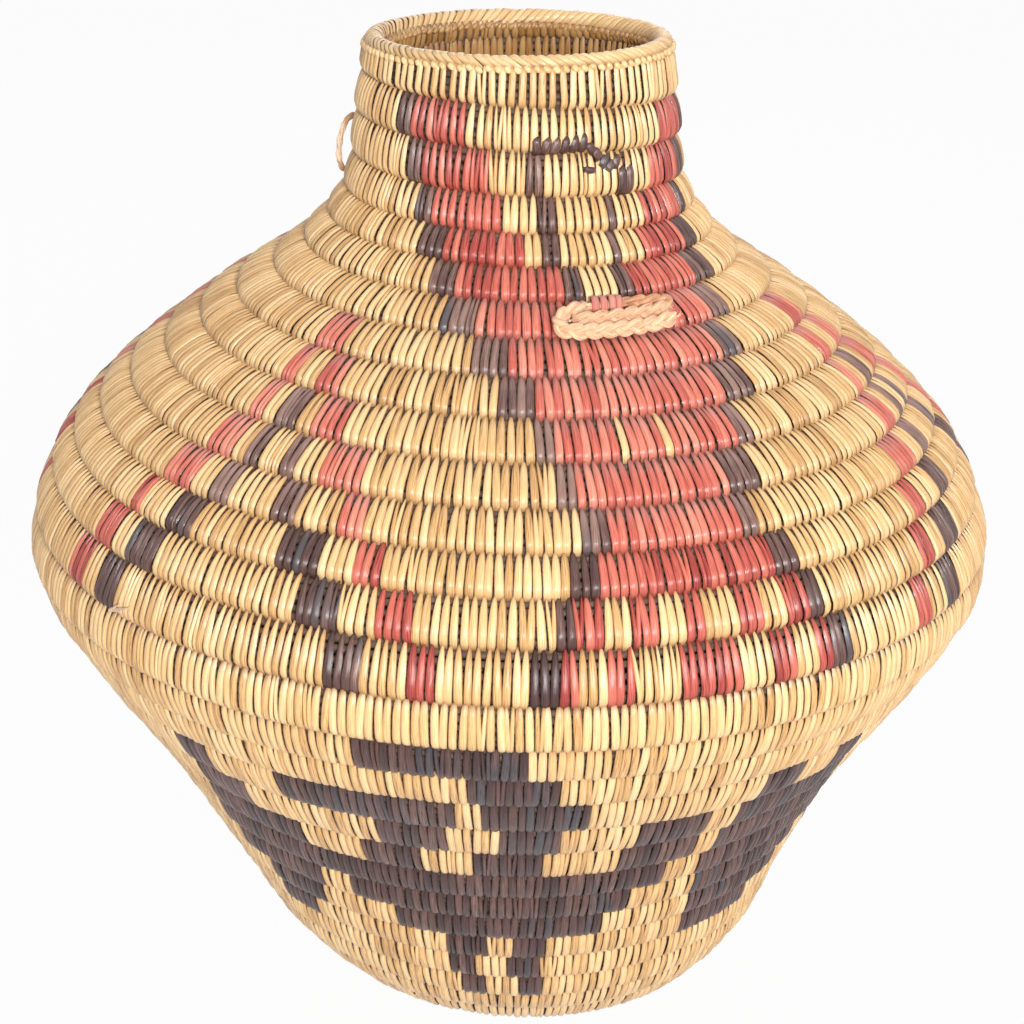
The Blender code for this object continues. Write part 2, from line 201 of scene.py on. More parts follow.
camera = {
    "place": (0.0, -0.603, 0.4054),
    "down": 22.66,  # degrees below level
    "roll": 1.046,
    "lens": 70.01,
    "shift": 0.00225,
}
stage = {
    "radius": 9.0,
    "below": 0.4,  # mm under the basket's foot
    "paper": (0.58, 0.58, 0.58, 1.0),
    "glow": 0.96,  # share of the floor that the camera sees as plain white
    "dim": 0.26,  # strength of the surroundings as a light
}
lamps = {
    # name: place, what it points at, size, watts
    "front": ((0.2, -1.3, 0.62), (0, 0, 0.16), (0.34, 0.14), 22.4),
    "left": ((-1.2, -0.7, 0.55), (0, 0, 0.15), (0.4, 0.4), 0.5),
    "right": ((1.2, -0.6, 0.6), (0, 0, 0.15), (0.4, 0.4), 1.8),
    "top": ((0.1, 0.1, 1.5), (0, 0, 0.2), (0.9, 0.9), 2.4),
    "back": ((0.2, 1.4, 0.9), (0, 0, 0.15), (0.8, 0.8), 3.5),
}
white = (1.0, 1.0, 1.0, 1.0)


def linked(name, data):
    obj = bpy.data.objects.new(name, data)
    bpy.context.scene.collection.objects.link(obj)
    return obj


def makeCamera():
    data = bpy.data.cameras.new("camera")
    data.lens = camera["lens"]
    data.sensor_width = 36
    data.shift_x = camera["shift"]
    obj = linked("camera", data)
    tilt = Matrix.Rotation(math.radians(90 - camera["down"]), 4, "X")
    roll = Matrix.Rotation(math.radians(camera["roll"]), 4, "Z")
    obj.matrix_world = Matrix.Translation(camera["place"]) @ tilt @ roll
    bpy.context.scene.camera = obj


def backdropRays(wires):
    # camera, mirror and glass rays all see the pale backdrop
    rays = wires.node("ShaderNodeLightPath").outputs
    either = wires.maths("MAXIMUM", rays["Is Camera Ray"], rays["Is Glossy Ray"])
    return wires.maths("MAXIMUM", either, rays["Is Transmission Ray"])


def makeFloor():
    floor = bmesh.new()
    bmesh.ops.create_circle(floor, cap_ends=True, segments=96, radius=stage["radius"])
    mesh = bpy.data.meshes.new("floor")
    floor.to_mesh(mesh)
    floor.free()
    mesh.transform(Matrix.Translation((0, 0, -stage["below"] * mm)))
    material = bpy.data.materials.new("palePaper")
    material.use_nodes = True
    material.node_tree.nodes.clear()
    wires = Wires(material.node_tree)
    paper = wires.made("ShaderNodeBsdfDiffuse", {"Color": stage["paper"]})
    glow = wires.made("ShaderNodeEmission", {"Color": white, "Strength": 1.0})
    share = wires.times(backdropRays(wires), stage["glow"])
    mixed = wires.made("ShaderNodeMixShader", {0: share, 1: paper, 2: glow})
    wires.node("ShaderNodeOutputMaterial", {0: mixed})
    mesh.materials.append(material)
    obj = linked("floor", mesh)


def makeSurroundings():
    world = bpy.data.worlds.new("studio")
    world.use_nodes = True
    bpy.context.scene.world = world
    wires = Wires(world.node_tree)
    back = world.node_tree.nodes["Background"]
    wires.join(white, back.inputs["Color"])
    wires.join(wires.ranged(backdropRays(wires), 0.0, 1.0, stage["dim"]), back.inputs["Strength"])


def makeLamps():
    for name, (place, target, size, watts) in lamps.items():
        data = bpy.data.lights.new(name, "AREA")
        data.shape = "RECTANGLE"
        data.size, data.size_y = size
        data.energy = watts
        aim = (Vector(target) - Vector(place)).to_track_quat("-Z", "Y")
        linked(name, data).matrix_world = Matrix.Translation(place) @ aim.to_matrix().to_4x4()


makeCamera()
makeFloor()
makeSurroundings()
makeLamps()
bpy.context.scene.view_settings.view_transform = "Standard"
print("camera, floor and lamps")


# The wall's shape, as in the part's own solids

wall = {
    "turns": (1, 2, 4, 6, 9, 12, 14, 16, 18, 21, 25, 28, 30),
    "radii": (42.9, 44.9, 48.2, 60.5, 92.7, 124.5, 140.1, 148.6, 138.6, 115.2, 93.0, 77.6, 61.0),
    "heights": (301.0, 289.4, 265.4, 247.8, 225.1, 199.6, 181.0, 155.2, 132.5, 95.0, 51.5, 20.8, 4.7),
    "thick": 8.6,
    "baseTurns": 4,
    "baseStep": 10.6,
    "leanBelow": 104.0,
    "lean": 8.2,
}


def wallProfile():
    points = list(zip(wall["turns"], wall["radii"], wall["heights"]))
    edgeTurn, edgeRadius, _ = points[-1]
    for step in range(1, int(edgeRadius / wall["baseStep"]) + 1):
        points.append((edgeTurn + step, edgeRadius - wall["baseStep"] * step, wall["thick"] / 2))
    steps = []
    for (turn, radius, height), (turn2, radius2, height2) in zip(points, points[1:]):
        width = turn2 - turn
        steps.append((width, (radius2 - radius) / width, (height2 - height) / width))
    slopes = [steps[0][1:]]
    for (width, a, b), (width2, a2, b2) in zip(steps, steps[1:]):
        both = width + width2
        slopes.append(((a * width2 + a2 * width) / both, (b * width2 + b2 * width) / both))
    slopes.append(steps[-1][1:])
    return points, slopes


profile, slopes = wallProfile()


def profilePoint(turn):
    # radius and height of the middle of the wall, mm
    turn1, radius, height = profile[0]
    if turn <= turn1:
        return radius + slopes[0][0] * (turn - turn1), height + slopes[0][1] * (turn - turn1)
    index = 0
    while index < len(profile) - 2 and turn > profile[index + 1][0]:
        index += 1
    start, end = profile[index], profile[index + 1]
    width = end[0] - start[0]
    t = (turn - start[0]) / width
    if t > 1:
        return end[1] + slopes[-1][0] * (turn - end[0]), end[2] + slopes[-1][1] * (turn - end[0])
    share = (
        (1 + 2 * t) * (1 - t) ** 2, t * t * (3 - 2 * t),
        t * (1 - t) ** 2 * width, t * t * (t - 1) * width,
    )
    return tuple(
        share[0] * start[axis + 1] + share[1] * end[axis + 1]
        + share[2] * slopes[index][axis] + share[3] * slopes[index + 1][axis]
        for axis in (0, 1)
    )


def wallPoint(turn, angle, offset=0.0):
    # metres; offset in mm outwards from the wall's middle
    radius, height = profilePoint(turn)
    before, after = profilePoint(turn - 0.01), profilePoint(turn + 0.01)
    radial, rise = after[0] - before[0], after[1] - before[1]
    length = math.hypot(radial, rise)
    radius -= rise / length * offset
    height = max(0.0, height + radial / length * offset)
    low = max(0.0, (wall["leanBelow"] - height) / wall["leanBelow"])
    turned = math.radians(angle)
    return Vector((
        radius * math.sin(turned) + wall["lean"] * low * low, -radius * math.cos(turned), height,
    )) * mm


def turnAt(height):
    low, high = 0.0, 2.0
    for _ in range(30):
        middle = (low + high) / 2
        if profilePoint(middle)[1] > height:
            low = middle
        else:
            high = middle
    return middle


def wallWays(angle):
    # level ways along the wall and out of it
    turned = math.radians(angle)
    return Vector((math.cos(turned), math.sin(turned), 0)), Vector((math.sin(turned), -math.cos(turned), 0))


def wallBand(top, low, angle):
    # middle, turning and height of the band between two turns of the wall
    high, foot = wallPoint(top, angle), wallPoint(low, angle)
    middle = (high + foot) / 2
    middle += (wallPoint((top + low) / 2, angle) - middle) * 0.7  # a band bulges with the wall
    along = wallWays(angle)[0]
    up = (high - foot).normalized()
    out = along.cross(up).normalized()
    up = out.cross(along)
    return middle, Matrix((along, up, out)).transposed(), (high - foot).length


# Pattern: each figure gives, for a row of the coil, its spans in degrees round from the front

bell = {  # the stepped figure down the front
    "red": {
        2: [(-38.5, -17)], 3: [(-33, -10)], 4: [(-26.5, -4)], 5: [(-20.5, 3.5)], 6: [(-14.5, 12)],
        7: [(-7, 46.5)], 8: [(-1.6, 42)], 9: [(3, 36)], 10: [(6.5, 15.3), (16.5, 22.5), (24, 33.5)],
        11: [(9, 29)], 12: [(11.2, 28)], 13: [(9.5, 30.3)],
        14: [(6.8, 9.8), (12.7, 15.8), (19, 21.2), (24.5, 27.5), (30.3, 33.3)],
        15: [(5, 7), (10, 13), (17.3, 23.8), (27.8, 30.7), (33.5, 35.5)],
    },
    "dark": {
        2: [(-45, -39)], 3: [(-40, -33)], 4: [(-34.5, -27)], 5: [(-28, -20.5)], 6: [(-21, -14.5)],
        7: [(-15, -7), (46.5, 54)], 8: [(-7.5, -1.6), (42, 47.5)], 9: [(-2, 3), (36, 42)],
        10: [(3.5, 6.5), (33.5, 36.5)], 11: [(6, 9), (29, 33.3)], 12: [(8.7, 11.2), (28, 31)],
        13: [(6.5, 9.5), (30.3, 33.7)], 14: [(4.7, 6.8), (33.3, 35.2)], 15: [(2.7, 5), (35.5, 38)],
    },
}
bellArm = {  # its right arm, up to the neck
    "red": {2: [(57, 78)], 3: [(51, 73)], 4: [(46, 66)], 5: [(38.5, 57)], 6: [(31, 51)]},
    "dark": {2: [(78, 84)], 3: [(73.5, 80)], 4: [(66, 72)], 5: [(57.5, 66)], 6: [(51.5, 60)]},
}
standingBird = {  # the small figure between the two arms
    "dark": {
        3: [(3, 8.5)], 4: [(7, 12.5), (30.5, 34.5)], 5: [(9, 14), (28.5, 32)], 6: [(12, 17), (26.5, 31)],
    },
}
chevron = {  # nested wedges on the shoulder
    "red": {
        8: [(-39.5, -33)], 9: [(-41.5, -37.7), (-33, -28.5)], 10: [(-42, -39), (-29.5, -24.5)],
        11: [(-44.5, -39.5), (-25, -19.8)], 12: [(-49, -43.3), (-20.8, -17.2)],
        13: [(-50.8, -48.2), (-17.5, -13.8)], 14: [(-54, -50.5), (-14, -9.5)],
        15: [(-57.5, -54), (-10, -7)],
    },
    "dark": {
        10: [(-36.5, -33)], 11: [(-37, -34.7), (-31.8, -29.3)], 12: [(-39.3, -36), (-29.7, -25.8)],
        13: [(-43, -38.8), (-26.5, -21.2)], 14: [(-47.5, -42.5), (-22.3, -18)],
        15: [(-50.5, -47), (-18.3, -14.8)],
    },
}
wings = {  # flying figures under the belly
    "dark": {
        17: [(-16, 2.5)], 18: [(-4.3, 5.8)], 19: [(-44, -39), (-28.2, -6.2), (-2.5, 10.3)],
        20: [(-45, -35.8), (-16, -7.7), (-0.6, 7.5), (17, 28)],
        21: [(-48, -29.3), (-20.3, -10.9), (-4, 5.3), (16.5, 28)], 22: [(-50, 24.5)],
        23: [(-50, -30.5), (-25.5, 20.5)], 24: [(-46, -33.5), (-19.5, 16)],
        25: [(-47, -38.5), (-10.7, -4.3), (1, 7)], 26: [(-11.5, -6.3), (-0.7, 5)],
        27: [(-10.3, -6), (0.3, 5)],
    },
}
fan = {  # the figure to their right at the front
    "dark": {
        19: [(33.5, 40)], 20: [(32.5, 47)], 21: [(32.5, 52)], 22: [(31.5, 59)], 23: [(32.5, 50)],
        24: [(33.3, 48)], 25: [(34, 43)],
    },
}
# figure, how far round it stands
placedFigures = (
    (bell, 0), (bell, 180), (bellArm, 0), (bellArm, 180), (standingBird, 0), (standingBird, 180),
    (chevron, 0), (chevron, 107), (chevron, 180), (chevron, 287),
    (wings, 0), (wings, 90), (wings, 180), (wings, 270), (fan, 0),
)
dyes = {"straw": 0.0, "dark": 1.0, "red": 2.0}

overSewn = (
    # short dark stitches over the others, the bird's back and head:
    # turn, degrees round from the front, width and length in mm, degrees that they lean
    (2.38, 6.6, 2.6, 4.7, 0), (2.38, 9.8, 2.6, 4.4, -14), (2.38, 13.0, 2.6, 4.4, -17),
    (2.37, 16.1, 2.6, 4.4, -14), (2.36, 19.3, 2.6, 4.4, -17), (2.34, 22.4, 2.6, 4.8, -10),
    (2.48, 25.2, 2.5, 3.8, 36), (2.63, 27.6, 2.6, 3.9, 30), (2.81, 30.0, 2.4, 3.7, -26),
    (2.93, 32.4, 2.4, 3.7, -30), (2.85, 34.8, 2.4, 4.2, -20), (2.97, 25.0, 2.0, 3.7, 76),
    (3.3, 37.6, 2.7, 7.4, 2), (3.3, 40.6, 2.7, 7.4, -2),
)


def patternRow(row):
    spans = []
    for figure, shift in placedFigures:
        for dye, rows in figure.items():
            for start, end in rows.get(row, ()):
                spans.append(((start + shift) % 360, (end + shift) % 360, dyes[dye]))
    return spans


def dyeAt(spans, angle):
    for start, end, dye in spans:
        if (angle - start) % 360 < (end - start) % 360:
            return dye
    return dyes["straw"]


# Materials

splintLook = {
    # place on the ramp, colour
    "straw": ((0.0, (156, 110, 66)), (0.25, (206, 161, 104)), (0.6, (231, 190, 135)), (1.0, (245, 215, 164))),
    "dark": ((0.0, (38, 24, 24)), (0.35, (66, 42, 39)), (0.7, (97, 67, 61)), (1.0, (146, 114, 102))),
    "ink": ((0.0, (24, 20, 24)), (0.5, (42, 36, 41)), (1.0, (86, 76, 79))),
    "red": ((0.0, (134, 42, 38)), (0.3, (182, 82, 69)), (0.65, (208, 113, 94)), (1.0, (230, 148, 124))),
    "dust": (176, 138, 132),
    # painted shade on the inner face of the wall
    "inside": (196, 180, 160),
    # painted shade: the colour that a splint's edges and ends darken towards
    "shade": (92, 62, 40),
    "fibres": (2.2, 3.0, 0.6),  # noise along a splint: scale, detail, roughness
    "patches": (26.0, 2.0),  # noise over the basket: scale, detail
    "fine": 6.0,  # how much finer the fibres are across a splint than along it
    "apart": 91.0,  # how far apart two splints lie in the noise
    "shares": (0.55, 0.3, 1.5),  # of the splint's own tone, of the patches, of the fibres
    "middle": 0.46,  # what the fibres' noise swings about
    "fadedRed": (0.26, -0.12),  # how much paler dust makes a dye, and where it starts from
    "fadedDark": (0.3, 0.12),
    "inky": (0.93, 1.04),  # half the tone plus the patches, where a dark splint turns bluish
    "dusty": 0.6,
    # painted shade at a splint's edges and ends
    "edge": (6.0, 0.75),  # how sharply and how much the edges darken
    "rough": (0.16, 0.42),
    "specular": 0.5,
    "grain": 0.00012,
}
rodLook = {
    # partly the rods' own brown, partly painted shade: darkened for the gaps between the stitches
    "tints": ((0.0, (58, 42, 32)), (0.5, (90, 68, 52)), (1.0, (134, 108, 88))),
    "fibres": (700.0, 3.0),
    "rough": 0.75,
    "grain": 0.0002,
}
strapLook = {
    "tints": (
        (0.3, (166, 118, 86)), (0.45, (218, 168, 128)), (0.58, (238, 194, 154)), (0.72, (252, 222, 190)),
    ),
    "fibres": (1.0, 4.0, 0.65),
    # a redder, darker tint; on the front strap's back runs it is painted shade
    "warm": (222, 198, 182),
    "rough": 0.62,
    "sheen": 0.25,
    "grain": 0.00025,
}


def newMaterial(name):
    material = bpy.data.materials.new(name)
    material.use_nodes = True
    return material, Wires(material.node_tree), material.node_tree.nodes["Principled BSDF"]


def splintMaterial():
    look = splintLook
    material, wires, shader = newMaterial("splint")
    side, along, face = wires.parts(wires.field("strip", "Vector"))
    tone, dye, dust = (wires.field(name) for name in ("tone", "dye", "dust"))

    # fibres run along each splint, and each splint has its own
    across = wires.maths("MULTIPLY_ADD", side, look["fine"], wires.times(tone, look["apart"]))
    fibre = wires.noise(wires.xyz(across, along, tone), *look["fibres"])
    patches = wires.noise(wires.node("ShaderNodeTexCoord").outputs["Object"], *look["patches"])
    ofTone, ofPatches, ofFibre = look["shares"]
    shade = wires.add(wires.times(tone, ofTone), wires.times(patches, ofPatches))
    shade = wires.maths("ADD", shade, wires.times(wires.less(fibre, look["middle"]), ofFibre), use_clamp=True)

    # the dyes are paler on the shoulder, deeper below it
    reds, darks = (
        wires.maths("ADD", shade, wires.maths("MULTIPLY_ADD", dust, *look[faded]), use_clamp=True)
        for faded in ("fadedRed", "fadedDark")
    )
    straw, dark, ink, red = (
        wires.ramp(factor, look[name])
        for name, factor in (("straw", shade), ("dark", darks), ("ink", darks), ("red", reds))
    )
    # dark splints run from brown to bluish black
    inky = wires.ranged(wires.add(wires.times(tone, 0.5), patches), *look["inky"])
    isDark = wires.maths("LESS_THAN", wires.maths("ABSOLUTE", wires.less(dye, dyes["dark"])), 0.4)
    isRed = wires.maths("GREATER_THAN", dye, dyes["red"] - 0.4)
    tint = wires.mix(isDark, straw, wires.mix(inky, dark, ink))
    tint = wires.mix(isRed, tint, red)

    # dusty upper ends on the dyed splints of the shoulder
    upper = wires.ranged(along, 0.0, 0.5)
    dusty = wires.times(wires.times(upper, dust), look["dusty"])
    dusty = wires.times(dusty, wires.maths("GREATER_THAN", dye, 0.5))
    tint = wires.mix(dusty, tint, colour(*look["dust"]))

    # painted shade: a little darker where a splint tucks in at its edges and ends
    power, most = look["edge"]
    edge = wires.times(wires.maths("MAXIMUM", wires.bowed(side, power), wires.bowed(along, power)), most)
    tint = wires.mix(edge, tint, wires.mix(1.0, tint, colour(*look["shade"]), "MULTIPLY"))
    # painted shade: splints on the inner face are darkened, as the inside of the basket lies in shade
    dim = wires.mix(1.0, tint, colour(*look["inside"]), "MULTIPLY")
    wires.join(wires.mix(wires.maths("LESS_THAN", face, -0.5), tint, dim), shader.inputs["Base Color"])

    wires.join(wires.ranged(fibre, 0.0, 1.0, *look["rough"]), shader.inputs["Roughness"])
    shader.inputs["Specular IOR Level"].default_value = look["specular"]
    wires.bumped(shader, fibre, look["grain"])
    return material


def rodMaterial():
    material, wires, shader = newMaterial("foundationRod")
    fibre = wires.noise(wires.node("ShaderNodeTexCoord").outputs["Object"], *rodLook["fibres"])
    wires.join(wires.ramp(fibre, rodLook["tints"]), shader.inputs["Base Color"])
    shader.inputs["Roughness"].default_value = rodLook["rough"]
    wires.bumped(shader, fibre, rodLook["grain"])
    return material


def strapMaterial():
    material, wires, shader = newMaterial("braidFibre")
    fibre = wires.noise(wires.field("strip", "Vector"), *strapLook["fibres"])
    # above 0 it makes the fibre redder and darker, which on the front strap is painted shade; below 0 paler
    warm = wires.field("warm")
    plain = wires.ramp(wires.less(fibre, wires.maths("MINIMUM", warm, 0.0)), strapLook["tints"])
    rosyAndShaded = wires.mix(1.0, plain, colour(*strapLook["warm"]), "MULTIPLY")
    wires.join(wires.mix(warm, plain, rosyAndShaded), shader.inputs["Base Color"])
    shader.inputs["Roughness"].default_value = strapLook["rough"]
    shader.inputs["Sheen Weight"].default_value = strapLook["sheen"]
    wires.bumped(shader, fibre, strapLook["grain"])
    return material


splint = splintMaterial()
rod = rodMaterial()
braidFibre = strapMaterial()
print("materials")


# Geometry trees: a tree is run on an object of points and edges and gives a plain mesh

def newTree(name, **inputs):
    tree = bpy.data.node_groups.new(name, "GeometryNodeTree")
    tree.interface.new_socket("Geometry", in_out="INPUT", socket_type="NodeSocketGeometry")
    for kind, labels in inputs.items():
        for label in labels:
            tree.interface.new_socket(label, in_out="INPUT", socket_type="NodeSocket" + kind)
    tree.interface.new_socket("Geometry", in_out="OUTPUT", socket_type="NodeSocketGeometry")
    wires = Wires(tree)
    return wires, wires.node("NodeGroupInput").outputs, wires.node("NodeGroupOutput").inputs[0]


def grown(obj, tree, settings, lengths):
    # lengths are settings in mm
    modifier = obj.modifiers.new(tree.name, "NODES")
    modifier.node_group = tree
    settings = {**settings, **{label: value * mm for label, value in lengths.items()}}
    for item in tree.interface.items_tree:
        if item.in_out == "INPUT" and item.name in settings:
            modifier[item.identifier] = settings[item.name]
    shapes = bpy.context.evaluated_depsgraph_get()
    mesh = bpy.data.meshes.new_from_object(
        obj.evaluated_get(shapes), preserve_all_data_layers=True, depsgraph=shapes
    )
    bpy.data.objects.remove(obj, do_unlink=True)
    return mesh


def pointObject(name, places, edges=(), **attributes):
    mesh = bpy.data.meshes.new(name)
    mesh.from_pydata([tuple(place) for place in places], list(edges), [])
    for label, values in attributes.items():
        values = np.array(values, dtype=np.float32)
        kind, key = ("FLOAT_VECTOR", "vector") if values.ndim == 2 else ("FLOAT", "value")
        mesh.attributes.new(label, kind, "POINT").data.foreach_set(key, values.ravel())
    return linked(name, mesh)


def finishedPiece(name, mesh, nodes, body="basket"):
    places = np.empty(len(mesh.vertices) * 3, dtype=np.float32)
    mesh.vertices.foreach_get("co", places)
    places = places.reshape(-1, 3)
    places[:, 2] = np.maximum(places[:, 2], 0.0)  # nothing goes below what it stands on
    mesh.vertices.foreach_set("co", places.ravel())
    mesh.update()
    mesh.name = name
    obj = linked(name, mesh)
    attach(obj, body)
    if nodes:
        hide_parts(*nodes)
    return obj


# Sewn coil

stitch = {
    "pitch": 2.42,  # mm from stitch to stitch
    "mouthPitch": 2.65,
    "fewest": 9,  # stitches in a row
    "share": 0.97,  # of the pitch that a splint covers
    "neckShare": {1: 0.8, 2: 0.9, 3: 0.94, 4: 0.95},
    "shift": 0.09,  # of the pitch that a splint lies off its place
    "split": 0.07,  # share of splints that are sewn as two thin ones
    "half": (0.25, 0.56),  # of the pitch that each of the two lies off and covers
    "slant": (0.5, 3.0),  # degrees that the two lean to each other
    "shortest": 0.06,  # of a turn, below which no splint is sewn
    "stand": 4.35,  # mm from the wall's middle to a splint's ridge
    "crown": 0.6,  # mm that its edges lie lower
    "bow": 2.6,  # how squarely it is crowned
    "lean": 2.8,  # degrees either way
    "spread": 0.1,  # of its width either way
    "ridges": (0.96, 1.035),  # lowest and highest, of the stand
    "reach": 1.16,  # of the row's height
    "outerGrid": (5, 11),
    "innerGrid": (4, 6),
    # the next ones go along a splint from its foot, 0, to its upper end, 1
    "outerWidth": (
        (0, 0.74), (0.06, 0.93), (0.15, 1.0), (0.42, 0.98), (0.62, 0.9), (0.78, 0.74), (0.9, 0.5), (1, 0.2),
    ),
    "bluntWidth": ((0, 0.78), (0.08, 0.96), (0.2, 1.0), (0.7, 0.99), (0.86, 0.9), (0.95, 0.74), (1, 0.55)),
    "innerWidth": ((0, 0.7), (0.2, 0.95), (0.5, 1.0), (0.8, 0.95), (1, 0.6)),
    "outerStand": (
        (0, 0.26), (0.08, 0.7), (0.17, 0.93), (0.28, 1.0), (0.5, 0.965), (0.68, 0.88), (0.85, 0.7),
        (1, 0.4),
    ),
    "mouthStand": ((0, 0.26), (0.08, 0.7), (0.17, 0.93), (0.28, 1.0), (0.8, 1.0), (0.92, 0.93), (1, 0.7)),
    "innerStand": ((0, 0.5), (0.18, 0.68), (0.5, 0.76), (0.82, 0.68), (1, 0.5)),
    "bluntFrom": 16,  # the row from which the upper ends are blunt
    "heart": 1.75,  # turns past the last whole one, where the coil's middle lies
}
overStitch = {
    "stand": 4.75,
    "ridge": ((0, 0.62), (0.14, 0.86), (0.35, 1.0), (0.7, 1.0), (0.9, 0.93), (1, 0.84)),
    "band": 0.2,  # turns up and down that give it its slope
    "seed": 13,
}
bundle = {
    "rods": 12,
    "lap": 0.35,  # mm that the bundles of two rows lie into each other
    "radius": 1.15,
    "depth": 1.0,  # mm that the rods lie under the splints' edges
    "sides": 5,
    "steps": 72,
    "least": 0.05,  # of a turn, where a row runs out
}
rim = {
    "height": 309.3,
    "tuck": 3.4,  # mm under its ridge that the first turn's splints start
    "tailStart": 67.5,  # degrees, where the coil's end dives under the binding
}
rimFoot = turnAt(rim["height"] - rim["tuck"])
lastTurn = wall["turns"][-1] + wall["baseTurns"]
strapGap = {"row": 7, "angle": 21.0, "stitches": 4}  # stitches over the front loop's strap
# how faded the dyes are, from which row on
fading = ((16, -0.4), (13, 0.0), (7, 1.0), (0, 0.25))
strapFading = 1.5


def stitchSide(wires, given, side, widths, ridge):
    grid, (across, along, _) = wires.grid(stitch["outerGrid" if side > 0 else "innerGrid"], side)
    way = wires.add(along, 0.5)
    crown = wires.times(wires.bowed(across, stitch["bow"]), given["Crown"])
    height = wires.less(wires.times(wires.curved(way, ridge), given["Stand"]), crown)
    width = wires.times(across, wires.curved(way, widths))
    place = wires.xyz(width, wires.times(along, given["Reach"]), wires.times(height, float(side)))
    band = wires.placed(grid, place)
    return band if side > 0 else wires.made("GeometryNodeFlipFaces", {"Mesh": band})


def rodBundle(wires, given, paths):
    curve = wires.made("GeometryNodeMeshToCurve", {"Mesh": paths})
    copies = wires.node(
        "GeometryNodeDuplicateElements", {"Geometry": curve, "Amount": given["Rods"]}, domain="SPLINE",
    ).outputs
    turned = wires.share(wires.times(copies["Duplicate Index"], math.tau), given["Rods"])
    shifts = (
        wires.scaled(wires.read(name, "FLOAT_VECTOR"), wires.maths(operation, turned))
        for name, operation in (("outward", "COSINE"), ("upward", "SINE"))
    )
    moved = wires.placed(copies["Geometry"], wires.summed(*shifts), "Offset")
    ring = wires.made(
        "GeometryNodeCurvePrimitiveCircle", {"Resolution": bundle["sides"], "Radius": given["Rod radius"]},
    )
    return wires.made("GeometryNodeCurveToMesh", {"Curve": moved, "Profile Curve": ring, "Fill Caps": True})


def sewnCoilTree(name, widths, ridge, lined=True):
    wires, given, result = newTree(
        name, Float=("Stand", "Crown", "Reach", "Lean", "Spread", "Rod radius"), Int=("Rods", "Seed"),
        Material=("Splint", "Rod"),
    )

    def chance(low, high, extra):
        return wires.chance(low, high, given["Seed"], extra)

    def either(label, extra):
        # as much as an input says, either way
        return chance(wires.times(given[label], -1.0), given[label], extra)

    onPath = wires.maths("GREATER_THAN", wires.read("path"), 0.5)
    parted = wires.node(
        "GeometryNodeSeparateGeometry", {"Geometry": given["Geometry"], "Selection": onPath},
    ).outputs
    sides = [stitchSide(wires, given, 1, widths, ridge)]
    if lined:
        sides.append(stitchSide(wires, given, -1, stitch["innerWidth"], stitch["innerStand"]))
    turned, tilt = (
        wires.made("FunctionNodeEulerToRotation", {0: angles})
        for angles in (wires.read("turned", "FLOAT_VECTOR"), wires.xyz(0.0, 0.0, either("Lean", 1)))
    )
    turned = wires.made("FunctionNodeRotateRotation", {0: turned, 1: tilt}, rotation_space="LOCAL")
    wide = wires.times(wires.read("wide"), wires.add(1.0, either("Spread", 2)))
    size = wires.xyz(wide, wires.read("tall"), chance(*stitch["ridges"], 3))
    sewn = wires.scattered(
        parted["Inverted"], wires.together(*sides), turned, size, chance(0.0, 1.0, 4), given["Splint"],
    )
    rods = wires.dressed(rodBundle(wires, given, parted["Selection"]), given["Rod"])
    wires.join(wires.together(sewn, rods), result)
    return wires.tree


def rowBand(row, angle):
    # upper and lower turn of a row of stitches
    middle = row + angle / 360
    top, low = middle - 0.5, middle + 0.5
    if row <= 1:
        top = max(top, rimFoot)
    return top, min(low, lastTurn + stitch["heart"])


def rowAngles(row):
    radius = profilePoint(min(row, lastTurn + 0.5))[0]
    pitch = stitch["mouthPitch" if row == 1 else "pitch"]
    count = max(stitch["fewest"], round(math.tau * radius / pitch))
    return [-180 + 360 * (index + 0.5) / count for index in range(count)], count


def newStitches():
    return {label: [] for label in ("places", "turned", "wide", "tall", "dye", "dust")}


def addStitch(points, place, turn, lean, *sizes):
    # sizes: width, height, dye, dust
    turned = turn @ Matrix.Rotation(math.radians(lean), 3, "Z")
    for values, value in zip(points.values(), (place, tuple(turned.to_euler()), *sizes)):
        values.append(value)


def coilStitches(row, strap=False):
    angles, count = rowAngles(row)
    spans, points = patternRow(row), newStitches()
    share = stitch["neckShare"].get(row, stitch["share"])
    dust = strapFading if strap else next(faded for first, faded in fading if row >= first)
    chance = random.Random(row)
    off, part = stitch["half"]
    for place in angles:
        away = abs(place - strapGap["angle"]) * count / 360
        overStrap = row == strapGap["row"] and away < strapGap["stitches"] / 2
        if overStrap != strap or row == 0 and place < rim["tailStart"]:
            continue
        dye = dyeAt(spans, place % 360)
        place += chance.uniform(-1, 1) * stitch["shift"] * 360 / count
        halves = ((0.0, 1.0, 0.0),)
        if chance.random() < stitch["split"] and not strap:
            slant = chance.uniform(*stitch["slant"])
            halves = ((-off, part, slant), (off, part, -slant))
        for shift, covered, slant in halves:
            angle = place + shift * 360 / count
            top, low = rowBand(row, angle)
            if low - top < stitch["shortest"]:
                continue
            middle, turn, height = wallBand(top, low, angle)
            radius = profilePoint((top + low) / 2)[0] * mm
            wide = math.tau * radius / count * share * covered
            addStitch(points, middle, turn, slant, wide, height, dye, dust)
    return points


def rodPath(row):
    path = {"places": [], "outward": [], "upward": []}
    radius = bundle["radius"] * mm
    out = (stitch["stand"] - stitch["crown"] - bundle["depth"]) * mm - radius
    for step in range(bundle["steps"] + 1):
        angle = -180 + 360 * step / bundle["steps"]
        if row == 0 and angle < rim["tailStart"]:
            continue
        top, low = rowBand(row, angle)
        middle, turn, height = wallBand(top, max(low, top + bundle["least"]), angle)
        path["places"].append(middle)
        path["outward"].append(tuple(turn.col[2] * out))
        path["upward"].append(tuple(turn.col[1] * max(0.0, height * 0.5 + bundle["lap"] * mm - radius)))
    return path


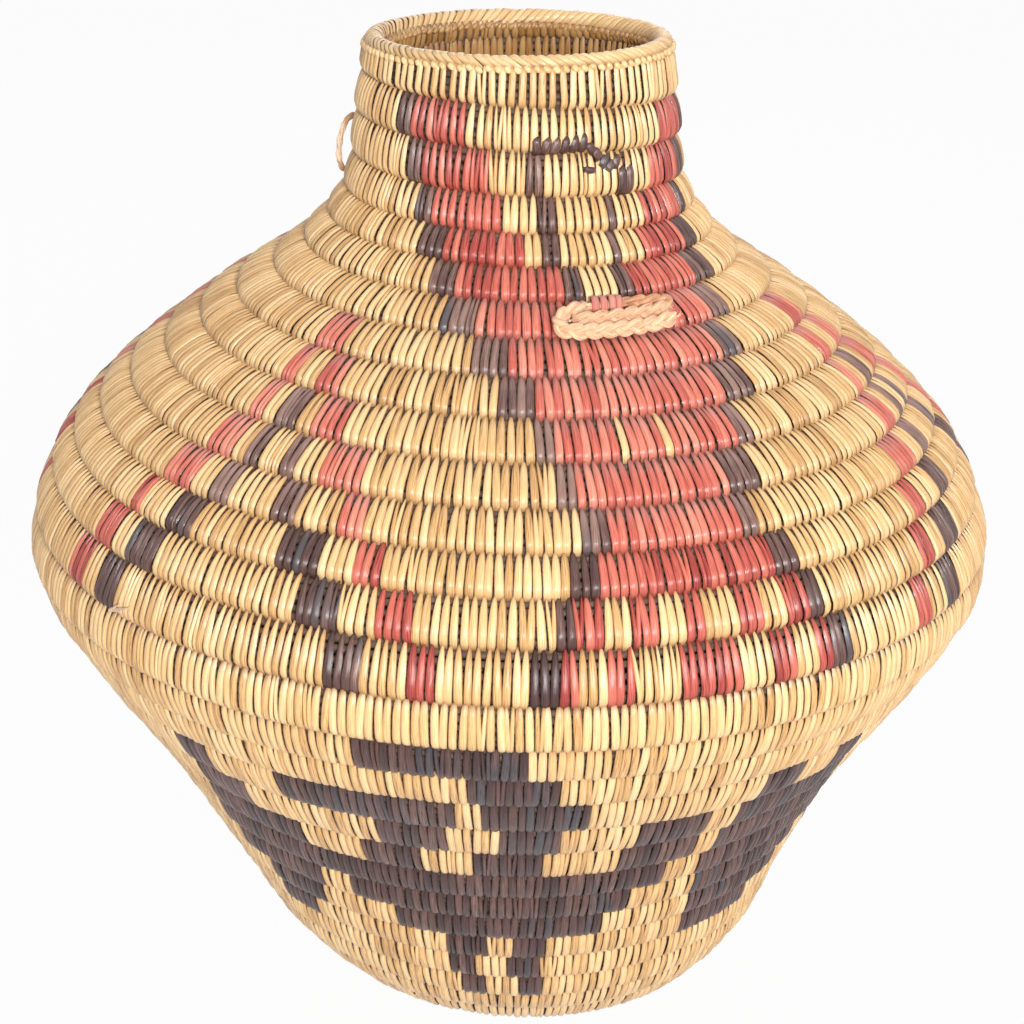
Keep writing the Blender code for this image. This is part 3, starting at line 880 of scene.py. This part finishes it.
def sewnPiece(tree, name, sewn, seed, nodes, stand=stitch["stand"], path=None):
    path = path or {"places": [], "outward": [], "upward": []}
    count, steps = len(sewn["places"]), len(path["places"])
    blank = [(0.0, 0.0, 0.0)]
    obj = pointObject(
        name, sewn["places"] + path["places"],
        [(index, index + 1) for index in range(count, count + steps - 1)],
        turned=sewn["turned"] + blank * steps,
        **{label: sewn[label] + [0.0] * steps for label in ("wide", "tall", "dye", "dust")},
        **{label: blank * count + path[label] for label in ("outward", "upward")},
        path=[0.0] * count + [1.0] * steps,
    )
    settings = {
        "Reach": stitch["reach"], "Lean": math.radians(stitch["lean"]), "Spread": stitch["spread"],
        "Rods": bundle["rods"], "Seed": seed, "Splint": splint, "Rod": rod,
    }
    lengths = {"Stand": stand, "Crown": stitch["crown"], "Rod radius": bundle["radius"]}
    return finishedPiece(name, grown(obj, tree, settings, lengths), nodes)


def sewnCoil(tree, row, name, nodes, seed):
    return sewnPiece(tree, name, coilStitches(row), seed, nodes, path=rodPath(row))


def overStitches():
    points = newStitches()
    for turn, angle, wide, tall, lean in overSewn:
        middle, turned, _ = wallBand(turn - overStitch["band"], turn + overStitch["band"], angle)
        addStitch(points, middle, turned, lean, wide * mm, tall * mm, dyes["dark"], 0.0)
    tree = sewnCoilTree("overStitch", stitch["bluntWidth"], overStitch["ridge"], lined=False)
    sewnPiece(tree, "over_stitches", points, overStitch["seed"], [], overStitch["stand"])


sewnTree = sewnCoilTree("sewnCoil", stitch["outerWidth"], stitch["outerStand"])
bluntTree = sewnCoilTree("bluntCoil", stitch["bluntWidth"], stitch["outerStand"])
mouthTree = sewnCoilTree("mouthCoil", stitch["bluntWidth"], stitch["mouthStand"])
for row in range(1, lastTurn + 1):
    tree = bluntTree if row >= stitch["bluntFrom"] else mouthTree if row == 1 else sewnTree
    sewnCoil(tree, row, f"sewn_coil_{row:02d}", [f"coil_{row:02d}"], 10 * row)
sewnCoil(sewnTree, 0, "sewn_tail", ["coil_tail"], 5)
sewnCoil(bluntTree, lastTurn + 1, "sewn_start", ["coil_start"], 7)
sewnCoil(bluntTree, lastTurn + 2, "sewn_heart", [], 9)
overStitches()
print("sewn coils")


# Bound rim: a herringbone of strands over the mouth's edge, each ending in a bead

binding = {
    "strands": 106,
    "out": 1.2,  # mm that it sits outwards of the wall's middle
    "thick": 3.1,  # mm from its middle to a strand's ridge on either face
    "drop": 3.1,  # mm from the ridge of the rim down to the outer foot of a strand
    "innerDrop": 1.4,  # mm that the inner foot lies lower
    "tilt": 0.0105,  # rise to the right along the mouth, the left side is lower
    "shift": 4.2,  # mm that the ridge lies back along the rim from the feet
    "cover": 1.12,  # of the pitch that a strand covers
    "shingle": 0.4,  # mm that one edge of a strand lies over its neighbour
    "crown": 0.45,
    "bow": 2.2,
    "arch": 0.75,  # below 1 the arch is squarer than a circle
    "inward": 3.0,  # how late the inner side starts to drop
    "sweep": 1.4,  # how evenly the ridge lies back
    "grid": (5, 15),
    "bead": (1.35, 0.95, 0.85),  # mm along, across and out
    "beadParts": (10, 6),
    "beadStrip": (0.4, 0.3),  # of the strip's middle that a bead takes its look from
    "beadTurn": -40.0,  # degrees, so that it follows its strand
    "beadStand": 3.25,
    "beadDrop": 3.5,
    "core": (2.5, 2.5),
    "coreDrop": 0.9,  # mm that the core lies under the strands' ridge
    "coreSides": (96, 14),
    "off": 0.1,  # mm that a strand lies in or out
    "rise": (-0.2, 0.1),
    "sizes": ((0.93, 0.94, 0.96), (1.08, 1.05, 1.03)),  # smallest and largest
    "tones": (0.35, 1.0),
    "seed": 3,
}


def bindingStrand(wires, given):
    grid, (across, along, _) = wires.grid(binding["grid"], 0)
    turned = wires.times(along, math.pi)
    side, up = wires.maths("SINE", turned), wires.maths("COSINE", turned)
    inner = wires.maths("POWER", wires.maths("MAXIMUM", wires.times(side, -1.0), 0.0), binding["inward"])
    full = wires.maths("POWER", wires.maths("ABSOLUTE", up), binding["arch"])
    crown = wires.times(wires.bowed(across, binding["bow"]), given["Crown"])
    raised = wires.less(wires.times(across, given["Shingle"]), crown)
    back = wires.less(1.0, wires.bowed(along, binding["sweep"]))
    rise = wires.add(wires.times(full, given["Drop"]), wires.times(up, raised))
    place = wires.xyz(
        wires.less(wires.times(across, given["Width"]), wires.times(back, given["Shift"])),
        wires.less(rise, wires.add(given["Drop"], wires.times(inner, given["Inner drop"]))),
        wires.times(side, wires.add(raised, given["Thick"])),
    )
    return wires.made("GeometryNodeFlipFaces", {"Mesh": wires.placed(grid, place)})


def bindingBead(wires, given, side):
    segments, rings = binding["beadParts"]
    ball = wires.made("GeometryNodeMeshUVSphere", {"Segments": segments, "Rings": rings, "Radius": 1.0})
    across, along, _ = wires.parts(wires.made("GeometryNodeInputPosition"))
    wide, tall = binding["beadStrip"]
    strip = wires.xyz(wires.times(across, wide), wires.times(along, tall), float(side))
    drop = given["Bead drop"]
    if side < 0:
        drop = wires.add(drop, given["Inner drop"])
    return wires.made("GeometryNodeTransform", {
        "Geometry": wires.store(ball, "strip", strip, "FLOAT_VECTOR"),
        "Translation": wires.xyz(0.0, wires.times(drop, -1.0), wires.times(given["Bead stand"], float(side))),
        "Scale": given["Bead"],
        "Rotation": Euler((0, 0, math.radians(binding["beadTurn"]))),
    })


def bindingCore(wires, given):
    ring, section = (
        wires.made("GeometryNodeCurvePrimitiveCircle", {"Resolution": sides, "Radius": radius})
        for sides, radius in zip(binding["coreSides"], (given["Radius"], 1.0))
    )
    size = wires.xyz(given["Core half"], given["Core tall"], 1.0)
    section = wires.made("GeometryNodeTransform", {"Geometry": section, "Scale": size})
    core = wires.made("GeometryNodeCurveToMesh", {"Curve": ring, "Profile Curve": section})
    under = wires.add(given["Core tall"], binding["coreDrop"] * mm)
    core = wires.made("GeometryNodeTransform", {
        "Geometry": core, "Translation": wires.xyz(0.0, 0.0, wires.less(given["Height"], under)),
        "Rotation": Euler((0, -binding["tilt"], 0)),
    })
    return wires.made("GeometryNodeSetMaterial", {"Geometry": core, "Material": given["Rod"]})


def boundRimTree():
    wires, given, result = newTree(
        "boundRim", Int=("Strands", "Seed"), Vector=("Bead",), Material=("Splint", "Rod"),
        Float=(
            "Radius", "Height", "Width", "Thick", "Drop", "Inner drop", "Tilt", "Shift", "Shingle", "Crown",
            "Bead drop", "Bead stand", "Core half", "Core tall",
        ),
    )

    def chance(low, high, extra, kind="FLOAT"):
        return wires.chance(low, high, given["Seed"], extra, kind)

    unit = wires.together(
        bindingStrand(wires, given), bindingBead(wires, given, 1), bindingBead(wires, given, -1),
    )
    line = wires.made("GeometryNodeMeshLine", {"Count": given["Strands"]})
    turned = wires.share(wires.times(wires.made("GeometryNodeInputIndex"), math.tau), given["Strands"])
    off = binding["off"] * mm
    radius = wires.add(given["Radius"], chance(-off, off, 1))
    height = wires.add(given["Height"], chance(*(value * mm for value in binding["rise"]), 2))
    right = wires.times(wires.maths("SINE", turned), radius)
    near = wires.times(wires.times(wires.maths("COSINE", turned), radius), -1.0)
    up = wires.add(height, wires.times(right, given["Tilt"]))
    places = wires.placed(line, wires.xyz(right, near, up))
    # along the rim, up, outwards
    stood = wires.made("FunctionNodeEulerToRotation", {0: wires.xyz(math.pi / 2, 0.0, turned)})
    size = chance(*binding["sizes"], 3, "FLOAT_VECTOR")
    bound = wires.scattered(places, unit, stood, size, chance(*binding["tones"], 4), given["Splint"])
    wires.join(wires.together(bound, bindingCore(wires, given)), result)
    return wires.tree


def boundRim():
    radius = (profilePoint(turnAt(rim["height"] - binding["drop"] / 2))[0] + binding["out"]) * mm
    settings = {
        "Strands": binding["strands"], "Radius": radius, "Tilt": binding["tilt"], "Seed": binding["seed"],
        "Width": math.tau * radius / binding["strands"] * binding["cover"],
        "Bead": tuple(value * mm for value in binding["bead"]), "Splint": splint, "Rod": rod,
    }
    half, tall = binding["core"]
    lengths = {
        "Height": rim["height"], "Thick": binding["thick"], "Drop": binding["drop"],
        "Inner drop": binding["innerDrop"], "Shift": binding["shift"], "Shingle": binding["shingle"],
        "Crown": binding["crown"], "Bead drop": binding["beadDrop"], "Bead stand": binding["beadStand"],
        "Core half": half, "Core tall": tall,
    }
    mesh = grown(pointObject("bound_rim", [(0, 0, 0)]), boundRimTree(), settings, lengths)
    return finishedPiece("bound_rim", mesh, ["rim_braid"])


boundRim()
print("bound rim")


# Braided straps: three strands plaited along a route

plait = {
    "step": 0.5,  # mm
    "turn": 13.5,  # mm for one strand to go across and back
    "strands": 3,
    "sides": 9,
    "strand": 1.05,  # mm, half its width
    "half": (2.65, 1.15),  # mm, half the strap's width and thickness
    "neck": 1.35,  # mm, half of both where it is drawn together
    "sink": 0.7,  # of a strand's half width that the plait's thickness leaves out
    "ends": (0.55, 0.15),  # how thick a strand ends, and what it gains with each point
    "fibres": (14.0, 260.0, 7.3),  # noise round, along and from strand to strand
    "looseRun": 0.003,
    "looseWarm": -0.12,
}
frontStrap = {
    "turn": 6.8,
    "angle": 21.0,
    "droop": 10.0,  # degrees below level at rest
    "pinDepth": 0.9,
    "pinHalf": 5.4,
    "spread": (1.5, 4.0),  # mm beside the stitches where it starts to widen, and over which it does
    "left": 16.5,
    "right": 17.0,
    "outer": 10.8,
    "inner": 8.0,
    "near": 4.4,
    "shift": 2.0,
    "fold": 0.27,  # of its length, where the back run folds forward
    # of its length up to which it is so much redder and darker, painted shade on the run behind and the one
    # on the wall
    "warm": ((0.27, 0.2), (0.42, 0.85), (1.1, 0.0)),
    # fans of loose fibres: how wide, how many, mm long
    "endFray": (0.3, 16, 2.2),
    "startFray": (0.3, 10, 1.8),
    "foldFray": (0.6, 9, 1.9),
    "seed": 4,
}
fray = {"steps": 6, "thin": 0.2, "taper": 0.7, "least": 0.45}
sideStrap = {
    "angle": -103.0,
    "turns": (3.0, 4.75),  # its upper and lower end
    "stand": 4.0,
    "rise": 0.4,
    "thin": 0.6,
    "flat": 0.3,  # how far it opens to a flat strap
    "flatFrom": (0.35, 0.4),  # of the stand where it starts to open, and over which it does
    # how red each end is, the most it shows and how fast it fades; between them the strap is pale
    "warmTop": (1.25, 0.9, 5.0),
    "warmLow": (0.75, 0.75, 4.5),
    "palest": -0.22,
    "way": ((0.0, 0.0), (0.04, 0.4), (0.16, 0.8), (0.45, 1.0), (0.78, 0.82), (0.95, 0.4), (1.0, 0.0)),
}
looseSplint = {
    "turn": 15.33,
    "angle": -47.1,
    "stand": (4.0, 1.8),  # mm from the wall's middle at its root, and further at its tip
    "thin": (0.46, 0.6),
    "steps": 6,
    # for each fibre how many turns it climbs and how many degrees it reaches
    "fibres": ((-0.26, 3.9), (-0.15, 2.9), (-0.22, 2.2)),
}


def smoothRoute(points, step):
    fine = []
    ends = [points[0] * 2 - points[1]] + list(points) + [points[-1] * 2 - points[-2]]
    for before, first, last, after in zip(ends, ends[1:], ends[2:], ends[3:]):
        for index in range(12):
            t = index / 12
            fine.append((
                first * 2 + (last - before) * t + (before * 2 - first * 5 + last * 4 - after) * t ** 2
                + (first * 3 - before - last * 3 + after) * t ** 3
            ) / 2)
    fine.append(points[-1].copy())
    lengths = [0.0]
    for first, last in zip(fine, fine[1:]):
        lengths.append(lengths[-1] + (last - first).length)
    count = max(8, round(lengths[-1] / step))
    route, index = [], 0
    for number in range(count + 1):
        wanted = lengths[-1] * number / count
        while index < len(lengths) - 2 and lengths[index + 1] < wanted:
            index += 1
        share = (wanted - lengths[index]) / (lengths[index + 1] - lengths[index])
        route.append(fine[index].lerp(fine[index + 1], share))
    return route


def plaitTree():
    wires, given, result = newTree(
        "plait", Float=("Strand", "Turn"), Int=("Sides",), Material=("Fibre",),
    )
    isLoose = wires.maths("GREATER_THAN", wires.read("loose"), 0.5)
    parted = wires.node(
        "GeometryNodeSeparateGeometry", {"Geometry": given["Geometry"], "Selection": isLoose},
    ).outputs
    curve, loose = (
        wires.made("GeometryNodeMeshToCurve", {"Mesh": parted[key]}) for key in ("Inverted", "Selection")
    )
    copies = wires.node(
        "GeometryNodeDuplicateElements", {"Geometry": curve, "Amount": plait["strands"]}, domain="SPLINE",
    ).outputs
    strands = wires.store(copies["Geometry"], "strand", copies["Duplicate Index"])
    phase = wires.add(
        wires.times(wires.share(wires.read("run"), given["Turn"]), math.tau),
        wires.times(wires.read("strand"), math.tau / plait["strands"]),
    )
    across = wires.scaled(wires.read("across", "FLOAT_VECTOR"), wires.maths("SINE", phase))
    double = wires.maths("SINE", wires.times(phase, 2.0))
    through = wires.scaled(wires.read("through", "FLOAT_VECTOR"), double)
    moved = wires.placed(strands, wires.summed(across, through), "Offset")
    lines = wires.made("GeometryNodeSetCurveRadius", {
        "Curve": wires.together(moved, wires.store(loose, "strand", 1.0)),
        "Radius": wires.times(wires.read("thin"), given["Strand"]),
    })
    ring = wires.made("GeometryNodeCurvePrimitiveCircle", {"Resolution": given["Sides"], "Radius": 1.0})
    ring = wires.store(ring, "round", wires.share(wires.made("GeometryNodeInputIndex"), given["Sides"]))
    solid = wires.made("GeometryNodeCurveToMesh", {
        "Curve": lines, "Profile Curve": ring, "Scale": wires.made("GeometryNodeInputRadius"),
        "Fill Caps": True,
    })
    strip = wires.xyz(*(
        wires.times(wires.read(name), amount)
        for name, amount in zip(("round", "run", "strand"), plait["fibres"])
    ))
    solid = wires.dressed(wires.store(solid, "strip", strip, "FLOAT_VECTOR"), given["Fibre"])
    wires.join(solid, result)
    return wires.tree


def newStrap():
    return [], [], {label: [] for label in ("run", "across", "through", "thin", "warm", "loose")}


def addPoint(strap, place, joined, **values):
    places, edges, data = strap
    if joined:
        edges.append((len(places) - 1, len(places)))
    places.append(place)
    for label, value in values.items():
        data[label].append(value)


def addLoose(strap, lines):
    # single fibres, each a list of points with their thickness
    for line in lines:
        for index, (point, thin) in enumerate(line):
            addPoint(
                strap, point, index > 0, run=plait["looseRun"] * index, across=(0, 0, 0), through=(0, 0, 0),
                thin=thin, warm=plait["looseWarm"], loose=1.0,
            )


def strapPiece(tree, name, strap, nodes, body="basket"):
    places, edges, data = strap
    settings = {"Sides": plait["sides"], "Fibre": braidFibre}
    lengths = {"Strand": plait["strand"], "Turn": plait["turn"]}
    mesh = grown(pointObject(name, places, edges, **data), tree, settings, lengths)
    return finishedPiece(name, mesh, nodes, body)


def plaited(tree, name, route, widthWay, sizes, warm, loose, node, thin=1.0):
    # sizes gives half the width and half the thickness at each point, metres
    strap, run = newStrap(), 0.0
    strand, last = plait["strand"] * thin * mm, len(route) - 1
    least, gain = plait["ends"]
    for index, point in enumerate(route):
        ahead, behind = route[min(index + 1, last)], route[max(index - 1, 0)]
        forward = (ahead - behind).normalized()
        across = (widthWay - forward * widthWay.dot(forward)).normalized()
        through = forward.cross(across)
        width, thick = sizes[index]
        addPoint(
            strap, point, index > 0, run=run, warm=warm(index / last), loose=0.0,
            across=tuple(across * max(0.0, width - strand)),
            through=tuple(through * max(0.0, thick - strand * plait["sink"])),
            thin=thin * min(1.0, least + gain * min(index, last - index)),
        )
        run += (ahead - point).length
    addLoose(strap, loose)
    return strapPiece(tree, name, strap, [node], node)


def strapHalf(spread):
    neck = plait["neck"]
    return tuple((neck + (half - neck) * spread) * mm for half in plait["half"])


def opened(value, start, over):
    return min(1.0, max(0.0, (value - start) / over))


def frontRoute():
    strap = frontStrap
    droop = math.radians(strap["droop"])
    middle = wallPoint(strap["turn"], strap["angle"], wall["thick"] / 2 - strap["pinDepth"])
    along, level = wallWays(strap["angle"])
    out = level * math.cos(droop) - Vector((0, 0, math.sin(droop)))
    up = along.cross(out).normalized()
    if up.z < 0:
        up.negate()
    left, right, shift, near = strap["left"], strap["right"], strap["shift"], strap["near"]
    inner, outer, pin = strap["inner"], strap["outer"], strap["pinHalf"]
    # along, out and up from the stitches: the run behind, the right fold, under the stitches, the left
    # fold and the run in front
    shape = (
        (-0.72 * left, 0.86 * inner, -0.1 * shift), (-0.40 * left, 0.96 * inner, 0),
        (0, inner, 0.1 * shift), (0.45 * right, 0.98 * inner, 0.25 * shift),
        (0.80 * right, 0.92 * inner, 0.4 * shift), (right, 0.78 * inner, 0.6 * shift),
        (0.98 * right, near, 0.9 * shift), (0.76 * right, 0.92 * near, 0.8 * shift),
        (0.55 * right, 0.70 * near, 0.7 * shift), (pin + 1.2, 0.18 * near, 0.4 * shift), (pin - 0.8, 0, 0),
        (0, 0, 0), (0.8 - pin, 0, 0), (-pin - 1.2, 0.18 * near, 0.4 * shift),
        (-0.52 * left, 0.72 * near, 0.7 * shift), (-0.78 * left, near, 0.5 * shift),
        (-left, 0.60 * outer, -0.1 * shift), (-0.97 * left, 0.84 * outer, -0.6 * shift),
        (-0.72 * left, 0.97 * outer, -0.9 * shift), (-0.30 * left, outer, -shift),
        (0.22 * right, outer, -shift), (0.70 * right, 0.97 * outer, -0.8 * shift),
        (1.06 * right, 0.90 * outer, -0.3 * shift),
    )
    points = [middle + (along * a + out * b + up * c) * mm for a, b, c in shape]
    return smoothRoute(points, plait["step"] * mm), middle, along, out, up


def frayedEnd(chance, point, way, spread, count, length):
    # a few loose fibres that fan out from a point of a strap
    def anyWay():
        return Vector([chance.uniform(-1, 1) for _ in range(3)]) * spread

    lines = []
    for _ in range(count):
        lean, bend = anyWay(), anyWay()
        reach = length * mm * chance.uniform(fray["least"], 1.0)
        line = []
        for step in range(fray["steps"]):
            far = step / (fray["steps"] - 1)
            place = point + (way + lean * far + bend * far * far) * (reach * far)
            line.append((place, fray["thin"] * (1 - fray["taper"] * far)))
        lines.append(line)
    return lines


def frontLoop(tree):
    strap = frontStrap
    route, middle, along, out, up = frontRoute()
    start, over = strap["spread"]
    sizes = []
    for point in route:
        spread = opened((point - middle).length / mm, strap["pinHalf"] + start, over)
        if (point - middle).dot(out) / mm > strap["near"]:
            spread = 1.0
        sizes.append(strapHalf(spread))
    chance = random.Random(strap["seed"])
    loose = frayedEnd(chance, route[-1], (route[-1] - route[-3]).normalized(), *strap["endFray"])
    loose += frayedEnd(chance, route[0], (route[0] - route[2]).normalized(), *strap["startFray"])
    loose += frayedEnd(chance, route[int(len(route) * strap["fold"])], along, *strap["foldFray"])

    # painted shade: the run behind and the run against the wall are darkened
    def warm(way):
        return next(amount for end, amount in strap["warm"] if way < end)

    return plaited(tree, "front_strap", route, up, sizes, warm, loose, "front_loop")


def sideWarm(way):
    red, most, fade = sideStrap["warmTop" if way < 0.5 else "warmLow"]
    return max(sideStrap["palest"], min(most, red - fade * min(way, 1 - way)))


def sideLoop(tree):
    strap = sideStrap
    top, low = (
        wallPoint(turn + strap["angle"] / 360, strap["angle"], wall["thick"] / 2 + strap["rise"])
        for turn in strap["turns"]
    )
    along, level = wallWays(strap["angle"])
    line = low - top
    axis = line.normalized()
    away = (level - axis * level.dot(axis)).normalized()
    points = [top + line * far + away * (strap["stand"] * off * mm) for far, off in strap["way"]]
    route = smoothRoute(points, plait["step"] * mm)
    start, over = (part * strap["stand"] for part in strap["flatFrom"])
    sizes = []
    for point in route:
        wide, thick = strapHalf(opened((point - top).dot(away) / mm, start, over) * strap["flat"])
        sizes.append((wide * strap["thin"], thick * strap["thin"]))
    return plaited(tree, "side_strap", route, along, sizes, sideWarm, [], "side_loop", strap["thin"])


def looseEnd(tree):
    # a splint's end that has come out of a crease at the left
    loose = looseSplint
    stand, away = loose["stand"]
    thin, taper = loose["thin"]
    lines = []
    for climb, reach in loose["fibres"]:
        line = []
        for step in range(loose["steps"] + 1):
            far = step / loose["steps"]
            place = wallPoint(loose["turn"] + climb * far, loose["angle"] + reach * far, stand + away * far)
            line.append((place, thin * (1 - taper * far)))
        lines.append(line)
    strap = newStrap()
    addLoose(strap, lines)
    return strapPiece(tree, "loose_splint", strap, [])


plaitGrower = plaitTree()
frontLoop(plaitGrower)
sideLoop(plaitGrower)
looseEnd(plaitGrower)
print("straps and a loose end")


# Stitches that hold the front strap

strapStitch = {
    "stand": 6.3,  # mm from the wall's middle to their ridge over the strap
    "ridge": (
        (0, 0.15), (0.08, 0.45), (0.17, 0.62), (0.3, 0.68), (0.5, 0.67), (0.62, 0.76), (0.7, 0.94),
        (0.76, 1.0), (0.82, 0.95), (0.9, 0.72), (1, 0.25),
    ),
    "seed": 71,
}

raisedTree = sewnCoilTree("raisedStitch", stitch["bluntWidth"], strapStitch["ridge"])
sewnPiece(
    raisedTree, "strap_stitches", coilStitches(strapGap["row"], True), strapStitch["seed"],
    ["loop_keeper"], strapStitch["stand"],
)
print("strap stitches")
